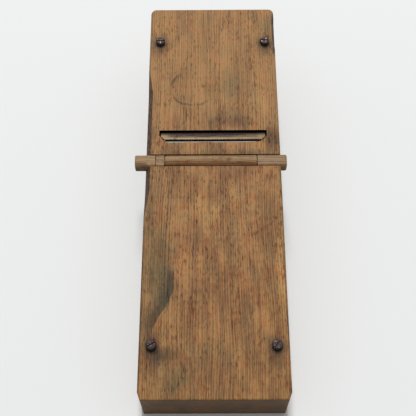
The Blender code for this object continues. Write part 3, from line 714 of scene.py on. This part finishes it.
@dataclass(frozen=True)
class BarOak(Finish):
    """The bar's paler timber, with its own stretch of grain for each piece."""

    light: Colour = (0.345, 0.210, 0.095)
    dark: Colour = (0.150, 0.080, 0.034)
    pore: Colour = (0.060, 0.030, 0.017)
    # darker towards the bottom of each piece
    warm: Colour = (0.72, 0.52, 0.44)
    low_dark: Colour = (0.030, 0.018, 0.011)
    # red streaks and painted shade on the roller's front side
    red_tint: Colour = (0.86, 0.56, 0.46)
    specular: float = 0.25
    bump_depth: float = 0.00010
    run: GrainRun = GrainRun.CROSSWISE
    offset: Triple = (0.0, 0.0, 0.0)
    front_red_and_shade: float = 0.0

    def make(self) -> bpy.types.Material:
        """Build the material.

        Returns:
            The material of one piece of the bar.
        """
        material, sheet, shader = self.start()
        spot = self.coordinates(sheet)
        grain = OAK_GRAIN.place(
            sheet, Vector=self.turned(sheet, spot, self.run, self.offset), Light=self.light,
            Dark=self.dark, Pore=self.pore, Contrast=0.8, Pore_Amount=0.45)
        colour = grain["Color"]
        x, y, z = sheet.split(spot)
        outer = sheet.math("ABSOLUTE", x)
        rubbed = sheet.noise(sheet.stretch(spot, (0.30, 0.30, 0.30)), 3.0, 0.6)
        # darker towards the bottom of each piece, most at the outer ends and in patches
        dirt = sheet.math("ADD", sheet.ramp(outer, 40.5, 43.0), sheet.ramp(rubbed, 0.44, 0.60, 0.0, 0.5))
        low = sheet.ramp(z, -4.5, -0.6, 0.55, 0.0)
        colour = sheet.blend(sheet.math("MULTIPLY", low, dirt, clamp=True), colour, self.low_dark)
        colour = sheet.blend(sheet.ramp(rubbed, 0.50, 0.66, 0.0, 0.45), colour, self.warm, "MULTIPLY")
        # red streaks with painted shade on the side towards the front end
        if self.front_red_and_shade > 0.0:
            colour = sheet.blend(self.front_red_streaks_and_shade(sheet, spot, y), colour, self.red_tint, "MULTIPLY")
        sheet.feed(shader.inputs["Base Color"], colour)
        sheet.feed(shader.inputs["Roughness"], sheet.ramp(grain["Pores"], 0.0, 1.0, 0.50, 0.75))
        shader.inputs["Specular IOR Level"].default_value = self.specular
        self.bump(sheet, shader, grain["Height"], self.bump_depth)
        return material

    def front_red_streaks_and_shade(self, sheet: Sheet, spot: Socket, y: Socket) -> Socket:
        """Red streaks along the piece on its side towards the front end, which also paint the shade of that
        side, turned from the light.
        """
        streaks = sheet.noise(sheet.stretch(spot, (0.10, 0.9, 0.9)), 3.0, 0.65)
        front_side = sheet.ramp(y, BAR_FROM_FRONT - 2.6, BAR_FROM_FRONT + 0.2, 1.0, 0.0)
        return sheet.math("MULTIPLY", sheet.ramp(streaks, 0.40, 0.60, 0.25, self.front_red_and_shade), front_side)


@dataclass(frozen=True)
class OldSteel(Finish):
    """Patinated steel."""

    bare: Colour = (0.30, 0.27, 0.24)
    patina: Colour = (0.060, 0.045, 0.038)
    amount: float = 0.6
    scale: float = 0.5
    metallic: float = 0.85
    bump_depth: float = 0.00012

    def make(self) -> bpy.types.Material:
        """Build the material.

        Returns:
            The steel material.
        """
        material, sheet, shader = self.start()
        skin = STEEL_SKIN.place(
            sheet, Vector=self.coordinates(sheet), Bare=self.bare, Patina=self.patina,
            Amount=self.amount, Scale=self.scale)
        sheet.feed(shader.inputs["Base Color"], skin["Color"])
        sheet.feed(shader.inputs["Roughness"], skin["Roughness"])
        shader.inputs["Metallic"].default_value = self.metallic
        self.bump(sheet, shader, skin["Height"], self.bump_depth)
        return material


@dataclass(frozen=True)
class BladeSteel(Finish):
    """The blade: a bright honed band by the edge, painted shade along the very edge, a straw-coloured ground
    band and brown patina above it.
    """

    steel: Colour = (0.230, 0.200, 0.165)
    rust: Colour = (0.060, 0.038, 0.028)
    honed: Colour = (0.150, 0.105, 0.060)
    straw: Colour = (0.080, 0.048, 0.026)
    # smoky dark patina towards the heel, also the painted shade along the very edge
    smoke_and_edge_shade: Colour = (0.0075, 0.0045, 0.0040)
    metallic: float = 0.8
    bump_depth: float = 0.00001

    def make(self) -> bpy.types.Material:
        """Build the material.

        Returns:
            The blade's material.
        """
        material, sheet, shader = self.start()
        spot = self.coordinates(sheet)
        x, y, z = sheet.split(spot)
        skin = STEEL_SKIN.place(
            sheet, Vector=spot, Bare=self.steel, Patina=self.rust, Amount=0.35, Scale=0.22)
        bevel = self.bevel_colour(sheet, spot, x, sheet.math("SUBTRACT", y, EDGE_FROM_FRONT))
        on_bevel = sheet.ramp(z, -2.2, -1.7)
        sheet.feed(shader.inputs["Base Color"], sheet.blend(on_bevel, skin["Color"], bevel))
        sheet.feed(shader.inputs["Roughness"], skin["Roughness"])
        shader.inputs["Metallic"].default_value = self.metallic
        self.bump(sheet, shader, skin["Height"], self.bump_depth)
        return material

    def bevel_colour(self, sheet: Sheet, spot: Socket, x: Socket, behind: Socket) -> Socket:
        """The ground bevel: honed near the edge, then straw, then smoky dark towards the heel, with painted
        shade along the very edge.

        Args:
            sheet: the material's sheet.
            spot: coordinates in the block's frame.
            x: place across the blade.
            behind: distance behind the edge, along the sole.

        Returns:
            The bevel's colour.
        """
        cloud = sheet.noise(sheet.stretch(spot, (0.085, 0.45, 0.45)), 3.0, 0.6)
        swing = sheet.math("MULTIPLY", sheet.math("SUBTRACT", cloud, 0.5), 5.0)
        off_middle = sheet.math("ABSOLUTE", sheet.math("ADD", x, 6.0))
        ends = sheet.ramp(off_middle, 14.0, 32.0)
        reach = sheet.math("SUBTRACT", sheet.math("ADD", behind, swing), sheet.math("MULTIPLY", ends, 1.6))
        colour = sheet.blend(sheet.ramp(reach, 0.9, 4.4), self.straw, self.smoke_and_edge_shade)
        band = sheet.window(sheet.math("SUBTRACT", behind, sheet.math("MULTIPLY", ends, 0.3)), 0.7, 1.3, 0.6)
        clipped = sheet.math("MULTIPLY", sheet.ramp(sheet.math("ABSOLUTE", x), 26.5, 30.0),
                             sheet.ramp(behind, 3.0, 4.6, 0.7, 0.0))
        colour = sheet.blend(sheet.math("MAXIMUM", band, clipped), colour, self.honed)
        # painted shade: the last half millimetre at the edge goes near black
        return sheet.blend(sheet.ramp(behind, 0.1, 0.5, 0.55, 0.0), colour, self.smoke_and_edge_shade)


@dataclass(frozen=True)
class PaleFloor:
    """The plain pale floor's finish."""

    colour: Colour = (0.80, 0.81, 0.805)
    roughness: float = 0.7

    def make(self) -> bpy.types.Material:
        """Build the floor's material."""
        material = bpy.data.materials.new("pale_floor")
        material.use_nodes = True
        shader = material.node_tree.nodes["Principled BSDF"]
        shader.inputs["Base Color"].default_value = (*self.colour, 1.0)
        shader.inputs["Roughness"].default_value = self.roughness
        return material


# ---------------------------------------------------------------- shaping helpers
def finished(
        bm: bmesh.types.BMesh, name: str, material: bpy.types.Material, matrix: Matrix) -> bpy.types.Object:
    """Make an object at the origin of a mesh, with its place in its vertices.

    Args:
        bm: the mesh, which is freed.
        name: the piece's name.
        material: its finish.
        matrix: from the mesh's own frame, in metres, to the world.

    Returns:
        The new object.
    """
    bmesh.ops.remove_doubles(bm, verts=bm.verts, dist=WELD)
    bmesh.ops.recalc_face_normals(bm, faces=bm.faces)
    bm.transform(matrix)
    mesh = bpy.data.meshes.new(name)
    bm.to_mesh(mesh)
    bm.free()
    mesh.materials.append(material)
    piece = bpy.data.objects.new(name, mesh)
    bpy.context.scene.collection.objects.link(piece)
    return piece


def dress(node: bpy.types.Object, material: bpy.types.Material) -> None:
    """Give a carried-over CAD node its finish in all its slots."""
    if not node.material_slots:
        node.data.materials.append(material)
    for slot in node.material_slots:
        slot.material = material
    log.info("%s dressed in %s", node.name, material.name)


# ---------------------------------------------------------------- sub-assemblies
@dataclass
class SoleBlock:
    """The oak block."""

    place: BlockFrame
    screw_points: tuple[Triple, ...]

    def dress(self) -> None:
        """Finish the block."""
        oak = BlockOak("block_oak", self.place, screws=self.screw_points).make()
        dress(frame["nodes"]["block"], oak)


@dataclass
class CrossBar:
    """The bar across the sole: two ends, the spacer and the roller."""

    place: BlockFrame
    # strength of the red streaks and painted shade on the roller's front side
    roller_front_red_and_shade: float = 0.95

    def dress(self) -> None:
        """Finish each piece from its own stretch of timber."""
        offsets = {
            "bar_left_end": (310.0, 40.0, 12.0),
            "bar_spacer": (520.0, 90.0, 33.0),
            "roller": (130.0, 10.0, 71.0),
            "bar_right_end": (710.0, 64.0, 5.0),
        }
        for name, offset in offsets.items():
            front_red_and_shade = self.roller_front_red_and_shade if name == "roller" else 0.0
            oak = BarOak(f"bar_oak_{name}", self.place, offset=offset, front_red_and_shade=front_red_and_shade).make()
            dress(frame["nodes"][name], oak)


@dataclass
class CuttingIrons:
    """The blade, the chip breaker and the pin that wedges them."""

    place: BlockFrame

    def dress(self) -> None:
        """Finish the three steel pieces of the throat."""
        dress(frame["nodes"]["blade"], BladeSteel("blade_steel", self.place).make())
        dark = OldSteel("breaker_steel", self.place, patina=(0.035, 0.028, 0.024), amount=0.75)
        dress(frame["nodes"]["chip_breaker"], dark.make())
        dress(frame["nodes"]["pressure_pin"], OldSteel("pin_steel", self.place).make())


@dataclass
class SoleScrews:
    """The four round-head screws."""

    place: BlockFrame
    names: tuple[str, ...] = (
        "screw_front_left", "screw_front_right", "screw_heel_left", "screw_heel_right")

    def dress(self) -> None:
        """Finish the screws."""
        steel = OldSteel(
            "screw_steel", self.place, bare=(0.20, 0.15, 0.12), patina=(0.055, 0.040, 0.038),
            amount=0.6, scale=0.9, metallic=0.7).make()
        for name in self.names:
            dress(frame["nodes"][name], steel)

    def centres(self) -> tuple[Triple, ...]:
        """Where the screws stand on the sole, mm in the block's frame."""
        back = self.place.matrix().inverted()
        found = []
        for name in self.names:
            points = [back @ vert.co for vert in frame["nodes"][name].data.vertices]
            x = (min(p.x for p in points) + max(p.x for p in points)) / 2 * MM
            y = (min(p.y for p in points) + max(p.y for p in points)) / 2 * MM
            found.append((x, y, 0.0))
        return tuple(found)


# ---------------------------------------------------------------- floor, light and camera
@dataclass
class Studio:
    """A pale floor under a wide soft light from the far side."""

    floor_half: float = 4.0
    key_width: float = 0.8
    key_length: float = 3.0
    key_energy: float = 178.0
    key_from: Triple = (-0.1, 2.2, 4.4)
    sky: Colour = (0.98, 1.0, 1.0)
    sky_strength: float = 0.42

    def build_floor(self) -> None:
        """Lay the floor under the plane."""
        bm = bmesh.new()
        bmesh.ops.create_grid(bm, x_segments=1, y_segments=1, size=self.floor_half)
        floor = finished(bm, "floor", PaleFloor().make(), Matrix.Identity(4))

    def light(self) -> None:
        """Hang the key light and set the sky."""
        data = bpy.data.lights.new("key", "AREA")
        data.shape = "RECTANGLE"
        data.size = self.key_width
        data.size_y = self.key_length
        data.energy = self.key_energy
        key = bpy.data.objects.new("key", data)
        key.location = self.key_from
        key.rotation_euler = (-Vector(self.key_from)).to_track_quat("-Z", "Y").to_euler()
        bpy.context.scene.collection.objects.link(key)
        world = bpy.data.worlds.new("sky")
        world.use_nodes = True
        background = world.node_tree.nodes["Background"]
        background.inputs["Color"].default_value = (*self.sky, 1.0)
        background.inputs["Strength"].default_value = self.sky_strength
        bpy.context.scene.world = world


@dataclass
class PlaneCamera:
    """The camera above the front end, looking down along the sole."""

    place: Triple = (0.000213873, -0.281818818, 0.446281091)
    elevation: float = math.radians(56.976)
    azimuth: float = math.radians(-0.445)
    roll: float = math.radians(0.637)
    lens: float = 68.71
    sensor: float = 36.0
    clip: tuple[float, float] = (0.01, 50.0)

    def build(self) -> None:
        """Set the camera up and make it the scene's."""
        data = bpy.data.cameras.new("camera")
        data.sensor_width = self.sensor
        data.lens = self.lens
        data.clip_start, data.clip_end = self.clip
        camera = bpy.data.objects.new("camera", data)
        level = math.cos(self.elevation)
        forward = Vector((
            math.sin(self.azimuth) * level, math.cos(self.azimuth) * level, -math.sin(self.elevation)))
        turn = forward.to_track_quat("-Z", "Y").to_matrix().to_4x4()
        lean = Matrix.Rotation(self.roll, 4, forward)
        camera.matrix_world = Matrix.Translation(self.place) @ lean @ turn
        bpy.context.scene.collection.objects.link(camera)
        bpy.context.scene.camera = camera


def main() -> None:
    """Dress the plane, then set floor, light and camera."""
    logging.basicConfig(level=logging.INFO, format="%(name)s: %(message)s")
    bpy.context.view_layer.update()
    place = BlockFrame.from_packed(frame)
    screws = SoleScrews(place)
    SoleBlock(place, screws.centres()).dress()
    CrossBar(place).dress()
    CuttingIrons(place).dress()
    screws.dress()
    studio = Studio()
    studio.build_floor()
    studio.light()
    PlaneCamera().build()
    bpy.context.scene.view_settings.view_transform = "Standard"


if __name__ == "__main__":
    main()
